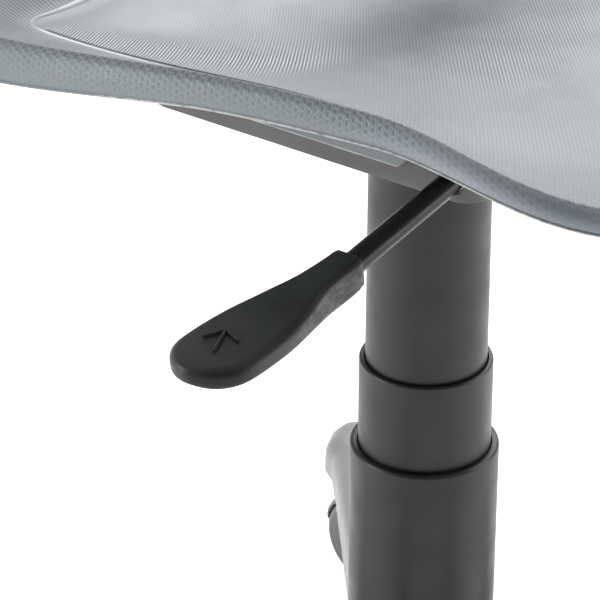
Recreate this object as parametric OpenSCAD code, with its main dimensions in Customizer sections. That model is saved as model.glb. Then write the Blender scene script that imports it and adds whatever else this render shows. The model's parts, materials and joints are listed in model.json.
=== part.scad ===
// Adjustable swivel stool: moulded seat on a pressed steel plate, gas lift inside a
// three-stage telescoping cover, lift lever with a paddle, five-leg base on twin-wheel casters.
// Millimetres. Origin on the floor under the column's axis, +Z up, front of the seat at -Y,
// lever on the -X side. The column is drawn part-way up.

/* [Seat] */
// Width of the seat across X
seat_w = 372; // [340:2:400]
// Depth of the seat along Y
seat_d = 400; // [370:2:430]
// Height of the seat surface at the middle of the dish
dish_z = 442; // [440:1:450]
// Height that the side rim climbs to at its crest
crest_z = 494; // [480:1:505]
// Wall of the moulded shell, measured straight down
shell_wall = 5.5; // [4:0.5:6]

/* [Seat plate] */
// Width of the pressed plate across X
plate_w = 150; // [140:1:160]
// Length of the pressed plate along Y
plate_d = 170; // [160:1:180]
// Top face of the plate
plate_top_z = 432; // [432:1:434]
// Height of the plate's turned-down flange
flange_h = 25.5; // [23:0.5:26]
// Sheet thickness of the plate
sheet = 3; // [2.5:0.5:3.5]

/* [Column cover] */
// Outer radius of the upper sleeve at its top
upper_r = 27.3; // [27:0.1:27.6]
// Outer radius of the middle sleeve at its top
middle_r = 30.5; // [30.4:0.1:30.8]
// Outer radius of the lower sleeve
lower_r = 34.4; // [34.2:0.1:36]
// Top rim of the middle sleeve
middle_top_z = 280; // [276:1:284]
// Top rim of the lower sleeve
lower_top_z = 236; // [230:1:240]

/* [Lever] */
// Distance of the lever in front of the column's axis
lever_y = 61; // [59:1:62]
// Droop of the lever below level, in degrees
lever_droop = 7.9; // [6:0.1:9]
// Diameter of the lever's rod
lever_rod_d = 10; // [8:0.5:10]
// Width of the paddle at its widest
paddle_w = 34; // [30:1:38]

/* [Base] */
// Distance from the column's axis to each caster's stem
caster_circle_r = 268; // [258:5:318]
// Direction of the first leg, in degrees from +X
first_leg_a = 42; // [0:1:71]
// Diameter of the caster wheels
wheel_d = 50; // [46:1:50]

/* [Hidden] */
$fn = 96;
eps = 0.01;

// Colours
seat_blue = [0.66, 0.70, 0.72];
sleeve_grey = [0.27, 0.27, 0.28];
plate_grey = [0.36, 0.36, 0.36];
base_grey = [0.68, 0.68, 0.70];
black = [0.08, 0.08, 0.08];
steel = [0.62, 0.62, 0.63];
brass = [0.75, 0.62, 0.35];

// Seat shell: the outline is a rounded square about a centre a little in front of the axis
seat_cy = -12;
outline_power = 4.2;
seat_segments = 64;
rim_front_z = crest_z - 37;
rim_rear_z = crest_z - 13;
side_foot_front_z = crest_z - 33;
side_foot_rear_z = crest_z - 29;
crest_y = -100;
dish_power = 2.4;
boss_r = 9;
insert_r = 4.2;
insert_h = 7;
seat_bolt_x = 55;
seat_bolt_y = 48;
fixing_cy = 5.5;
plate_cy = 13;
skirt_t = 3;
skirt_gap = 1;
skirt_half_l = 47;
skirt_low_z = 415.8;

// Seat plate
plate_low_z = plate_top_z - flange_h;
plate_under_z = plate_top_z - sheet;
plate_corner_r = 10;
plate_hole_r = 3.3;
spare_hole_r = 3.5;
spare_hole_x = 55;
spare_hole_y = 26;
service_hole_r = 17;

// Lever and its pivot: the rod's centre line goes through the flange at flange_rod_z
pivot_x = -30;
flange_rod_z = 415;
rod_r = lever_rod_d / 2;
pivot_z = flange_rod_z + (plate_w / 2 + pivot_x) * tan(lever_droop);
rod_inner_x = -36;
rod_outer_x = -158;
arm_shaft_r = 4;
arm_end_y = -66;
ear_hw = 6.3;
arm_boss_r = 6.3;
arm_boss_x = -43;
tongue_low_z = 417.3;
tongue_t = 4;
button_top_z = 416.7;
grip_z = 404.3;
grip_y = -lever_y - 2;
blade_t = 10;
blade_x = -230;
neck_hw = 10.5;
collar_w = 16;
collar_h = 13.5;
lift_slot_w = 11.6;

// Lever bracket, a hat section under the plate that holds the taper socket
bracket_low_z = 405;
bracket_t = 3;
bracket_x0 = -44;
bracket_x1 = 39;
bracket_y0 = -50;
bracket_y1 = 48;
ear_in_y = 9;

// Gas lift
cylinder_r = 14;
cylinder_low_z = 170;
cylinder_top_z = 409;
cylinder_bore_r = 12.5;
cylinder_end = 12;
button_bore_h = 16;
press_gap = 0.05;
running_gap = 0.08;
button_r = 4;
button_bore_r = 4.3;
rod_low_z = 36;
rod_top_z = 262;
gas_rod_r = 5;
stand_r = 24.5;
stand_wall = 2;
stand_low_z = 42;
stand_top_z = 275;
ball_z = 50;
ball_r = 1.5;
ball_ring_r = 10.5;
ball_count = 12;
ball_gap = 0.02;

// Column cover
sleeve_wall = 2;
sleeve_draft = 0.7;
sleeve_rim_r = 0.9;
upper_low_z = 225;
middle_low_z = 150;
lower_low_z = 95;

// Base
hub_r = 46;
hub_low_z = 46;
hub_top_z = 92;
leg_tip_r = 20;
leg_nose_r = 17;
leg_nose_out = 10;
leg_reach = caster_circle_r + leg_nose_out + leg_nose_r;
leg_root_hw = 23;
leg_waist_hw = 17.4;
leg_waist_x = caster_circle_r - 32;
leg_tip_low_z = 54.6;
leg_tip_top_z = 75;
leg_wall = 5;
leg_count = 5;
leg_step = 360 / leg_count;
stem_bore_r = 7;
stem_bore_top_z = 69.5;
socket_bore_r = 5.58;

// Casters: the stem turns in the leg, the axle sits behind it by the trail
wheel_r = wheel_d / 2;
wheel_w = 17;
hood_gap = 1;
hub_web_hw = 5.5;
trail = 21;
stem_r = 5.5;
axle_r = 3;
wheel_tread_r = 4;
caster_turn = [219, 200, 35, 160, 285];

// ---------------------------------------------------------------- shared shapes

module ring(r_out, r_in, z0, z1) {
    translate([0, 0, z0])
        difference() {
            cylinder(r = r_out, h = z1 - z0);
            translate([0, 0, -1])
                cylinder(r = r_in, h = z1 - z0 + 2);
        }
}

module rounded_rect(w, d, r) {
    square([w - 2 * r, d], center = true);
    square([w, d - 2 * r], center = true);
    for (sx = [-1, 1], sy = [-1, 1])
        translate([sx * (w / 2 - r), sy * (d / 2 - r)])
            circle(r = r);
}

// Tube with a rounded top rim, wider at the foot by the draft
module sleeve(r_top, r_foot, wall, z0, z1) {
    rotate_extrude($fn = 128)
        union() {
            polygon([
                [r_foot - wall, z0], [r_foot, z0],
                [r_top, z1 - sleeve_rim_r], [r_top - wall, z1 - sleeve_rim_r],
            ]);
            translate([r_top - wall, z1 - sleeve_rim_r - eps])
                square([wall - sleeve_rim_r, sleeve_rim_r + eps]);
            translate([r_top - sleeve_rim_r, z1 - sleeve_rim_r])
                circle(r = sleeve_rim_r, $fn = 32);
        }
}

module around_legs() {
    for (i = [0 : leg_count - 1])
        rotate(first_leg_a + i * leg_step)
            children();
}

module at_seat_bolts(z) {
    for (sx = [-1, 1], sy = [-1, 1])
        translate([sx * seat_bolt_x, fixing_cy + sy * seat_bolt_y, z])
            children();
}

// ---------------------------------------------------------------- seat

function smooth(a, b, v) = let (t = max(0, min(1, (v - a) / (b - a)))) t * t * (3 - 2 * t);

// Distance from the outline's centre to the outline, in direction f
function outline_r(f) =
    pow(pow(abs(cos(f)) * 2 / seat_w, outline_power)
        + pow(abs(sin(f)) * 2 / seat_d, outline_power), -1 / outline_power);

// Height of the side rim at a place along Y: it crests in front of the axis
function side_rim_z(y) =
    let (front = y < crest_y)
    let (foot = front ? side_foot_front_z : side_foot_rear_z)
    let (spread = front ? 75 : 190)
    foot + (crest_z - foot) * exp(-pow((y - crest_y) / spread, 2));

// Height of the rim all the way round: the sides climb, the front falls away
function rim_z(f) =
    let (x = outline_r(f) * cos(f), y = outline_r(f) * sin(f) + seat_cy)
    let (side = smooth(0.3, 0.9, abs(x) * 2 / seat_w))
    let (end_z = y < 0 ? rim_front_z : rim_rear_z)
    side * side_rim_z(y) + (1 - side) * end_z;

// Depth of the textured edge band, deeper towards the rear
function band_h(f) =
    let (y = outline_r(f) * sin(f) + seat_cy + 20)
    min(18, 12 + (y > 0 ? 0.05 : 0.016) * y);

function dish(f, s) = dish_z + (rim_z(f) - dish_z) * pow(s, dish_power);

function seat_point(f, inset, z) =
    let (r = outline_r(f) - inset)
    [r * cos(f), r * sin(f) + seat_cy, z];

function seat_ring_point(f, s, drop) =
    [outline_r(f) * s * cos(f), outline_r(f) * s * sin(f) + seat_cy, dish(f, s) - drop];

// Rings from the middle of the top, over the rim and back along the underside
top_steps = [0.12, 0.25, 0.38, 0.5, 0.6, 0.69, 0.77, 0.84, 0.9, 0.945];
// Each rim ring: distance in from the outline, and height as a share of the edge band
rim_steps = [[5.5, -0.02], [2.4, 0.08], [0.7, 0.3], [0, 0.58], [0.5, 0.86], [2.2, 1], [4.6, 0.9]];
seat_rings = concat(
    [for (s = top_steps) [for (k = [0 : seat_segments - 1])
        seat_ring_point(k * 360 / seat_segments, s, 0)]],
    [for (e = rim_steps) [for (k = [0 : seat_segments - 1])
        let (f = k * 360 / seat_segments)
        seat_point(f, e[0], rim_z(f) - e[1] * band_h(f))]],
    [for (j = [len(top_steps) - 1 : -1 : 0]) [for (k = [0 : seat_segments - 1])
        seat_ring_point(k * 360 / seat_segments, top_steps[j], shell_wall)]]
);

// Closed solid through a stack of rings, with a point in the middle of each end
module ring_solid(rings, first_z, last_z) {
    n = len(rings[0]);
    m = len(rings);
    top = m * n;
    bottom = m * n + 1;
    points = concat([for (r = rings) for (p = r) p],
        [[0, seat_cy, first_z], [0, seat_cy, last_z]]);
    faces = concat(
        [for (k = [0 : n - 1]) [top, (k + 1) % n, k]],
        [for (j = [0 : m - 2]) for (k = [0 : n - 1])
            each [[j * n + k, j * n + (k + 1) % n, (j + 1) * n + (k + 1) % n],
                [j * n + k, (j + 1) * n + (k + 1) % n, (j + 1) * n + k]]],
        [for (k = [0 : n - 1]) [bottom, (m - 1) * n + k, (m - 1) * n + (k + 1) % n]]
    );
    polyhedron(points = points, faces = faces);
}

module seat_shell() {
    skirt_x = plate_w / 2 + skirt_gap;
    color(seat_blue)
        difference() {
            union() {
                ring_solid(seat_rings, dish_z, dish_z - shell_wall);
                at_seat_bolts(plate_top_z)
                    cylinder(r = boss_r, h = dish_z - plate_top_z);
                for (sx = [0, 1])
                    mirror([sx, 0, 0])
                        translate([skirt_x, fixing_cy - skirt_half_l, 0])
                            skirt_panel();
            }
            at_seat_bolts(plate_top_z - 1)
                cylinder(r = insert_r + press_gap, h = insert_h + 1.3);
        }
}

// Side panel of the shell that hangs outside the plate's flange, with its lower front corner cut
module skirt_panel() {
    corner = 3.5;
    top = dish_z + 2;
    rotate([90, 0, 90])
        linear_extrude(skirt_t)
            polygon([
                [0, top], [0, skirt_low_z + corner], [corner, skirt_low_z],
                [2 * skirt_half_l - corner, skirt_low_z], [2 * skirt_half_l, skirt_low_z + corner],
                [2 * skirt_half_l, top],
            ]);
}

module seat_inserts() {
    color(brass)
        at_seat_bolts(plate_top_z + 0.2)
            difference() {
                cylinder(r = insert_r, h = insert_h);
                translate([0, 0, -1])
                    cylinder(r = 3 + press_gap, h = insert_h + 2);
            }
}

module seat_washers() {
    color(steel)
        at_seat_bolts(plate_under_z - 1.6)
            difference() {
                cylinder(r = 7, h = 1.6);
                translate([0, 0, -1])
                    cylinder(r = 3.2, h = 4);
            }
}

// Four screws with a hexagon socket, up through the plate into the inserts
module seat_screws() {
    head_h = 3.6;
    color(steel)
        at_seat_bolts(plate_under_z - 1.6 - head_h)
            difference() {
                union() {
                    cylinder(r = 5.4, h = head_h);
                    cylinder(r = 3, h = head_h + 1.6 + sheet + insert_h - 1);
                }
                translate([0, 0, -1])
                    cylinder(r = 2.3, h = 3.2, $fn = 6);
            }
}

// ---------------------------------------------------------------- seat plate and mechanism

module seat_plate() {
    color(plate_grey)
        difference() {
            translate([0, plate_cy, plate_low_z])
                linear_extrude(flange_h)
                    rounded_rect(plate_w, plate_d, plate_corner_r);
            translate([0, plate_cy, plate_low_z - 1])
                linear_extrude(flange_h - sheet + 1)
                    rounded_rect(plate_w - 2 * sheet, plate_d - 2 * sheet, plate_corner_r - sheet);
            at_seat_bolts(plate_under_z - 1)
                cylinder(r = plate_hole_r, h = sheet + 2);
            for (sx = [-1, 1], sy = [-1, 1])
                translate([sx * spare_hole_x, fixing_cy + sy * spare_hole_y, plate_under_z - 1])
                    cylinder(r = spare_hole_r, h = sheet + 2);
            translate([0, 0, plate_under_z - 1])
                cylinder(r = service_hole_r, h = sheet + 2);
            lever_slot();
        }
}

// Upright slot in the flange that the lever's rod comes out of and lifts in
module lever_slot() {
    slot_low_z = flange_rod_z - rod_r - 0.8;
    end_r = lift_slot_w / 2;
    // deep enough to clear the inside of the corner's bend
    translate([-plate_w / 2 - 1, -lever_y, 0])
        rotate([90, 0, 90])
            linear_extrude(sheet + 5)
                union() {
                    translate([0, slot_low_z + end_r])
                        circle(r = end_r);
                    translate([-end_r, slot_low_z + end_r])
                        square([lift_slot_w, plate_under_z - slot_low_z - end_r - 0.3]);
                }
}

module lever_bracket() {
    web_h = plate_under_z - bracket_low_z;
    bracket_d = bracket_y1 - bracket_y0;
    color(plate_grey)
        difference() {
            union() {
                translate([bracket_x0, bracket_y0, bracket_low_z])
                    cube([bracket_x1 - bracket_x0, bracket_d, bracket_t]);
                for (x = [bracket_x0, bracket_x1 - bracket_t])
                    translate([x, bracket_y0, bracket_low_z])
                        cube([bracket_t, bracket_d, web_h]);
                for (y = [ear_in_y, bracket_y0])
                    translate([pivot_x, y, 0])
                        bracket_ear();
            }
            translate([0, 0, bracket_low_z - 1])
                cylinder(r = cylinder_r + press_gap, h = bracket_t + 2);
            translate([pivot_x, bracket_y0 - 1, pivot_z])
                rotate([-90, 0, 0])
                    cylinder(r = arm_shaft_r + running_gap, h = ear_in_y - bracket_y0 + bracket_t + 2);
        }
}

// Upright ear with a round top, which the lever's shaft turns in
module bracket_ear() {
    rotate([-90, 0, 0])
        linear_extrude(bracket_t)
            union() {
                translate([0, -pivot_z])
                    circle(r = ear_hw);
                translate([-ear_hw, -pivot_z])
                    square([2 * ear_hw, pivot_z - bracket_low_z - 1]);
            }
}

// Push-on ring that keeps the lever's shaft in its ears
module shaft_clip() {
    translate([pivot_x, ear_in_y + bracket_t + 0.4, pivot_z])
        rotate([-90, 0, 0])
            color(steel)
                ring(arm_shaft_r + 2, arm_shaft_r + press_gap, 0, 1.2);
}

module taper_socket() {
    socket_h = 35;
    color(plate_grey)
        ring(21, cylinder_r + press_gap, bracket_low_z - socket_h, bracket_low_z);
}

module upper_sleeve() {
    inner_r = upper_r - sleeve_wall + 0.2;
    color(sleeve_grey)
        sleeve(upper_r, upper_r + sleeve_draft, upper_r - inner_r, upper_low_z, bracket_low_z);
}

module gas_cylinder() {
    color(black)
        difference() {
            translate([0, 0, cylinder_low_z])
                cylinder(r = cylinder_r, h = cylinder_top_z - cylinder_low_z);
            translate([0, 0, cylinder_low_z + cylinder_end])
                cylinder(r = cylinder_bore_r, h = cylinder_top_z - cylinder_low_z - 2.5 * cylinder_end);
            translate([0, 0, cylinder_low_z - 1])
                cylinder(r = gas_rod_r + running_gap, h = cylinder_end + 2);
            translate([0, 0, cylinder_top_z - button_bore_h])
                cylinder(r = button_bore_r, h = button_bore_h + 1);
        }
}

module release_button() {
    color(steel)
        translate([0, 0, cylinder_top_z - 10])
            cylinder(r = button_r, h = button_top_z - cylinder_top_z + 10);
}

// ---------------------------------------------------------------- lever

// Places its children with +Z along the rod, from the pivot's column outwards
module along_lever() {
    translate([-plate_w / 2, -lever_y, flange_rod_z])
        rotate([0, -90 - lever_droop, 0])
            children();
}

function along(x) = (-plate_w / 2 - x) / cos(lever_droop);

module lever_rod() {
    color(black)
        along_lever()
            translate([0, 0, along(rod_inner_x)])
                cylinder(r = rod_r, h = along(rod_outer_x) - along(rod_inner_x));
}

// Boss clamped on the rod, cross shaft through the two ears and the tongue over the button
module release_arm() {
    web_x1 = -31;
    web_hw = 5;
    tongue_hw = 7;
    shaft_l = ear_in_y + bracket_t + 2.5 - arm_end_y;
    color(plate_grey)
        difference() {
            union() {
                along_lever()
                    translate([0, 0, along(rod_inner_x) - 2])
                        cylinder(r = arm_boss_r, h = along(arm_boss_x) - along(rod_inner_x) + 2);
                translate([arm_boss_x + 3, -lever_y - web_hw, pivot_z - 4.5])
                    cube([web_x1 - arm_boss_x - 3, 2 * web_hw, 8.5]);
                translate([pivot_x, arm_end_y, pivot_z])
                    rotate([-90, 0, 0])
                        cylinder(r = arm_shaft_r, h = shaft_l);
                translate([pivot_x, -tongue_hw, tongue_low_z])
                    cube([6 - pivot_x, 2 * tongue_hw, tongue_t]);
            }
            along_lever()
                translate([0, 0, along(rod_inner_x)])
                    cylinder(r = rod_r + press_gap, h = 30);
        }
}

// Flat disc with a rounded edge, the building shape of the paddle
module soft_disc(r, t) {
    edge = t / 2;
    rotate_extrude($fn = 40)
        intersection() {
            translate([0, -t])
                square([r, 2 * t]);
            union() {
                translate([0, -edge])
                    square([r - edge, t]);
                translate([r - edge, 0])
                    circle(r = edge, $fn = 20);
            }
        }
}

module lever_grip() {
    collar_x = -144.5;
    neck_x = -176;
    blade_mid_x = -207;
    blade_mid_r = paddle_w / 2 - 1.6;
    color(black)
        difference() {
            union() {
                hull() {
                    translate([blade_x, grip_y, grip_z])
                        soft_disc(paddle_w / 2, blade_t);
                    translate([blade_mid_x, grip_y, grip_z])
                        soft_disc(blade_mid_r, blade_t);
                }
                hull() {
                    translate([blade_mid_x, grip_y, grip_z])
                        soft_disc(blade_mid_r, blade_t);
                    translate([neck_x, grip_y, grip_z])
                        soft_disc(neck_hw, blade_t + 2);
                }
                hull() {
                    translate([neck_x, grip_y, grip_z])
                        soft_disc(neck_hw, blade_t + 2);
                    along_lever()
                        translate([0, 0, along(collar_x)])
                            linear_extrude(14)
                                rounded_rect(collar_h, collar_w, 4, $fn = 24);
                }
            }
            along_lever()
                translate([0, 0, along(collar_x) - 2])
                    cylinder(r = rod_r + press_gap, h = along(rod_outer_x) - along(collar_x) + 2.5);
        }
}

// ---------------------------------------------------------------- column

module middle_sleeve() {
    color(sleeve_grey)
        sleeve(middle_r, middle_r + 0.5, sleeve_wall, middle_low_z, middle_top_z);
}

module lower_sleeve() {
    color(sleeve_grey)
        sleeve(lower_r, lower_r, 2.8, lower_low_z, lower_top_z);
}

module stand_tube() {
    floor_t = 4;
    color(black)
        union() {
            ring(stand_r, stand_r - stand_wall, stand_low_z, stand_top_z);
            ring(stand_r - stand_wall / 2, gas_rod_r + 0.3, stand_low_z, stand_low_z + floor_t);
        }
}

module guide_bush() {
    color([0.85, 0.85, 0.82])
        union() {
            ring(stand_r - stand_wall - press_gap, cylinder_r + running_gap,
                stand_top_z - 35, stand_top_z + 2);
            ring(stand_r - 0.5, cylinder_r + running_gap, stand_top_z, stand_top_z + 2);
        }
}

module lower_thrust_washer() {
    color(steel)
        ring(14, gas_rod_r + 0.3, stand_low_z + 4, ball_z - ball_r - ball_gap);
}

module upper_thrust_washer() {
    color(steel)
        ring(14, gas_rod_r + press_gap, ball_z + ball_r + ball_gap, ball_z + 4);
}

module ball_cage() {
    color(brass)
        difference() {
            ring(13, 8, ball_z - 1, ball_z + 1);
            for (i = [0 : ball_count - 1])
                rotate(i * 360 / ball_count)
                    translate([ball_ring_r, 0, ball_z - 2])
                        cylinder(r = ball_r + running_gap, h = 4);
        }
}

module thrust_balls() {
    color(steel)
        for (i = [0 : ball_count - 1])
            rotate(i * 360 / ball_count)
                translate([ball_ring_r, 0, ball_z])
                    sphere(r = ball_r, $fn = 24);
}

module piston_rod() {
    color(steel)
        translate([0, 0, rod_low_z])
            cylinder(r = gas_rod_r, h = rod_top_z - rod_low_z);
}

module piston() {
    color(black)
        ring(cylinder_bore_r - running_gap, gas_rod_r + press_gap, rod_top_z - 12, rod_top_z - 1);
}

module rod_clip() {
    color(steel)
        ring(9, gas_rod_r + press_gap, stand_low_z - 2.3, stand_low_z - 0.3);
}

module bump_stop() {
    color(black)
        ring(11, gas_rod_r + press_gap, ball_z + 4, ball_z + 30);
}

// ---------------------------------------------------------------- base

// Side view of a leg, from the hub to the tip: the top falls in a shallow curve
leg_top_pts = [for (i = [0 : 10])
    let (t = i / 10)
    [30 + (leg_reach - 30) * t,
        hub_top_z - 2 - (hub_top_z - 2 - leg_tip_top_z) * (1 - pow(1 - t, 1.8))]];
leg_low_pts = [for (i = [10 : -1 : 0])
    let (t = i / 10)
    [30 + (leg_reach - 30) * t,
        hub_low_z + (leg_tip_low_z - hub_low_z) * min(1, 1.5 * t)]];

// Plan of a leg; wall is how far in from the outside it is drawn
module leg_plan(wall, x0, x1) {
    narrow = leg_waist_hw - wall;
    polygon([
        [x0, -leg_root_hw + wall], [leg_waist_x, -narrow], [x1, -narrow],
        [x1, narrow], [leg_waist_x, narrow], [x0, leg_root_hw - wall],
    ]);
}

module leg() {
    intersection() {
        translate([0, leg_root_hw + 2, 0])
            rotate([90, 0, 0])
                linear_extrude(2 * leg_root_hw + 4)
                    polygon(concat(leg_top_pts, leg_low_pts));
        translate([0, 0, hub_low_z - 1])
            linear_extrude(hub_top_z)
                union() {
                    leg_plan(0, 20, caster_circle_r);
                    translate([caster_circle_r, 0])
                        circle(r = leg_tip_r);
                    translate([caster_circle_r + leg_nose_out, 0])
                        circle(r = leg_nose_r);
                }
    }
}

// Channel moulded out of the underside of a leg, between the hub and the caster's socket
module leg_channel() {
    intersection() {
        translate([0, leg_root_hw + 2, -leg_wall])
            rotate([90, 0, 0])
                linear_extrude(2 * leg_root_hw + 4)
                    polygon(concat(leg_top_pts, [[leg_top_pts[10][0], 20], [leg_top_pts[0][0], 20]]));
        linear_extrude(hub_top_z)
            leg_plan(leg_wall, hub_r + 6, caster_circle_r - 26);
    }
}

module star_base() {
    color(base_grey)
        difference() {
            union() {
                translate([0, 0, hub_low_z])
                    cylinder(r = hub_r, h = hub_top_z - hub_low_z);
                around_legs()
                    leg();
            }
            translate([0, 0, hub_low_z - 1])
                cylinder(r = stand_r + press_gap, h = hub_top_z);
            around_legs()
                union() {
                    leg_channel();
                    translate([caster_circle_r, 0, leg_tip_low_z - 1])
                        cylinder(r = stem_bore_r, h = stem_bore_top_z - leg_tip_low_z + 1);
                }
        }
}

// Cover ring that seats the lower sleeve on the hub
module hub_ring() {
    color(sleeve_grey)
        union() {
            ring(lower_r + 4, stand_r + 0.3, hub_top_z, hub_top_z + 3);
            ring(lower_r - 3, stand_r + 0.3, hub_top_z, hub_top_z + 8);
        }
}

// Plastic liners pressed in the legs, which the caster stems turn in
module leg_sockets() {
    color(black)
        around_legs()
            translate([caster_circle_r, 0, 0])
                ring(stem_bore_r - press_gap, socket_bore_r, leg_tip_low_z + 0.5, leg_tip_low_z + 13.5);
}

// ---------------------------------------------------------------- casters

// Puts a caster under leg i, turned about its own stem
module caster_at(i) {
    rotate(first_leg_a + i * leg_step)
        translate([caster_circle_r, 0, 0])
            rotate(caster_turn[i])
                children();
}

module caster_stem() {
    color(steel)
        union() {
            translate([0, 0, 44])
                cylinder(r = stem_r, h = stem_bore_top_z - 1.5 - 44);
            translate([0, 0, 53.4])
                cylinder(r = 8.5, h = 0.8);
        }
}

// Body between the wheels with a fender arched over both of them
module caster_hood() {
    fender_r = wheel_r + hood_gap + 2.2;
    half_w = hub_web_hw + 1 + wheel_w;
    color(base_grey)
        difference() {
            union() {
                intersection() {
                    translate([trail, 0, wheel_r])
                        rotate([90, 0, 0])
                            cylinder(r = fender_r, h = 2 * half_w, center = true);
                    translate([trail - fender_r - 1, -half_w, wheel_r + 9])
                        cube([2 * fender_r + 2, 2 * half_w, fender_r]);
                }
                translate([trail, 0, wheel_r])
                    rotate([90, 0, 0])
                        cylinder(r = wheel_r - 4, h = 2 * hub_web_hw, center = true);
                translate([0, 0, 32])
                    cylinder(r = 11, h = 21);
            }
            for (s = [-1, 1])
                translate([trail, s * (hub_web_hw + 0.5 + wheel_w / 2 + 1), wheel_r])
                    rotate([90, 0, 0])
                        cylinder(r = wheel_r + hood_gap, h = wheel_w + 3, center = true);
            translate([trail, 0, wheel_r])
                rotate([90, 0, 0])
                    cylinder(r = axle_r + press_gap, h = 60, center = true);
            translate([0, 0, 43])
                cylinder(r = stem_r + press_gap, h = 20);
        }
}

module caster_axle() {
    color(steel)
        translate([trail, 0, wheel_r])
            rotate([90, 0, 0])
                cylinder(r = axle_r, h = 2 * (hub_web_hw + wheel_w - 1), center = true);
}

// Wheel with a rounded tread and a dished outer face, side is 1 or -1
module caster_wheel(side) {
    bore_r = axle_r + 0.07;
    translate([trail, side * (hub_web_hw + 0.7), wheel_r])
        rotate([-90 * side, 0, 0])
            color(base_grey)
                rotate_extrude($fn = 96)
                    difference() {
                        union() {
                            translate([bore_r, 0])
                                square([wheel_r - wheel_tread_r - bore_r, wheel_w]);
                            translate([bore_r, wheel_tread_r])
                                square([wheel_r - bore_r, wheel_w - 2 * wheel_tread_r]);
                            for (h = [wheel_tread_r, wheel_w - wheel_tread_r])
                                translate([wheel_r - wheel_tread_r, h])
                                    circle(r = wheel_tread_r, $fn = 40);
                        }
                        translate([8, wheel_w - 2])
                            square([8, 5]);
                    }
}

module caster_piece(i, piece) {
    caster_at(i) {
        if (piece == "stem") caster_stem();
        if (piece == "hood") caster_hood();
        if (piece == "axle") caster_axle();
        if (piece == "wheel_a") caster_wheel(1);
        if (piece == "wheel_b") caster_wheel(-1);
    }
}

// ---------------------------------------------------------------- nodes

star_base();
hub_ring();
stand_tube();
guide_bush();
lower_thrust_washer();
lower_sleeve();
leg_sockets();
piston_rod();
piston();
rod_clip();
upper_thrust_washer();
bump_stop();
ball_cage();
thrust_balls();
middle_sleeve();
gas_cylinder();
taper_socket();
lever_bracket();
upper_sleeve();
seat_plate();
seat_shell();
seat_inserts();
seat_washers();
seat_screws();
shaft_clip();
lever_rod();
release_arm();
lever_grip();
release_button();
for (i = [0 : leg_count - 1], piece = ["stem", "hood", "axle", "wheel_a", "wheel_b"])
    caster_piece(i, piece);
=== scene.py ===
import json
import math

import bmesh
import bpy
import numpy as np
from mathutils import Matrix, Vector


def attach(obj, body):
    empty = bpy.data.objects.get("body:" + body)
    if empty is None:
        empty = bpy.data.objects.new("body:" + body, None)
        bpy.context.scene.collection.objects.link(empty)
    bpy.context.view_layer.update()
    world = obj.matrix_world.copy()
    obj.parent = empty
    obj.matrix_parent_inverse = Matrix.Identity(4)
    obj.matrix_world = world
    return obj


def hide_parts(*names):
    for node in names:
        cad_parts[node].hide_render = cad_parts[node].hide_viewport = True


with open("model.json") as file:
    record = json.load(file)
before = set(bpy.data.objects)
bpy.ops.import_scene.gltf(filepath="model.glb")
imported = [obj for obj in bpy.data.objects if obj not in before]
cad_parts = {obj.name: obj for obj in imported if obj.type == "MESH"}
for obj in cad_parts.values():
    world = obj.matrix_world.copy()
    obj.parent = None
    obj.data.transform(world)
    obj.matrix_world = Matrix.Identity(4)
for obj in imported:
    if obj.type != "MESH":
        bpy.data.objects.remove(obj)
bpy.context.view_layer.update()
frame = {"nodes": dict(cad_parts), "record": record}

MM = 0.001
TAU = 2 * math.pi


# ---------------- mesh helpers
# Shapes are worked out in millimetres and stored in metres.

def place_in_scene(name, data):
    obj = bpy.data.objects.new(name, data)
    bpy.context.scene.collection.objects.link(obj)
    return obj


def new_object(name, verts, faces, sharp=40):
    mesh = bpy.data.meshes.new(name)
    mesh.from_pydata([tuple(v) for v in np.asarray(verts, float) * MM], [], faces)
    mesh.validate()
    mesh.update()
    obj = place_in_scene(name, mesh)
    shade(obj, sharp)
    return obj


def shade(obj, sharp=40):
    mesh = obj.data
    mesh.polygons.foreach_set("use_smooth", np.ones(len(mesh.polygons), bool))
    mesh.set_sharp_from_angle(angle=math.radians(sharp))
    mesh.update()


def grid_faces(rows, cols, wrap_rows=False, flip=False):
    """Quads over a grid whose columns run round; its rows may run round too."""
    faces = []
    for j in range(rows if wrap_rows else rows - 1):
        a, b = j * cols, ((j + 1) % rows) * cols
        for k in range(cols):
            m = (k + 1) % cols
            quad = [a + k, a + m, b + m, b + k]
            faces.append(quad[::-1] if flip else quad)
    return faces


def unit(v):
    return v / np.linalg.norm(v)


def fillet(points, radii, steps=5):
    """Closed outline with its corners rounded; a radius of 0 keeps the corner."""
    out = []
    n = len(points)
    for i, r in enumerate(radii):
        p, a, b = (np.array(points[k], float) for k in (i, i - 1, (i + 1) % n))
        if r <= 0:
            out.append(tuple(p))
            continue
        u, v = a - p, b - p
        lu, lv = np.linalg.norm(u), np.linalg.norm(v)
        u, v = u / lu, v / lv
        half = math.acos(max(-1, min(1, float(u @ v)))) / 2
        back = min(r / math.tan(half), lu * 0.49, lv * 0.49)
        r = back * math.tan(half)
        centre = p + unit(u + v) * r / math.sin(half)
        start, end = p + u * back - centre, p + v * back - centre
        a0 = math.atan2(start[1], start[0])
        turn = (math.atan2(end[1], end[0]) - a0 + math.pi) % TAU - math.pi
        for k in range(steps + 1):
            t = a0 + turn * k / steps
            out.append((centre[0] + r * math.cos(t), centre[1] + r * math.sin(t)))
    return out


def revolve(name, outline, segments=160, sharp=40):
    """Solid of revolution about Z through a closed outline of (radius, height)."""
    verts = []
    for k in range(segments):
        t = TAU * k / segments
        verts += [(r * math.cos(t), r * math.sin(t), z) for r, z in outline]
    pairs = [(outline[i - 1], outline[i]) for i in range(len(outline))]
    area = sum(a[0] * b[1] - b[0] * a[1] for a, b in pairs)
    faces = grid_faces(segments, len(outline), wrap_rows=True, flip=area > 0)
    return new_object(name, verts, faces, sharp)


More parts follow.
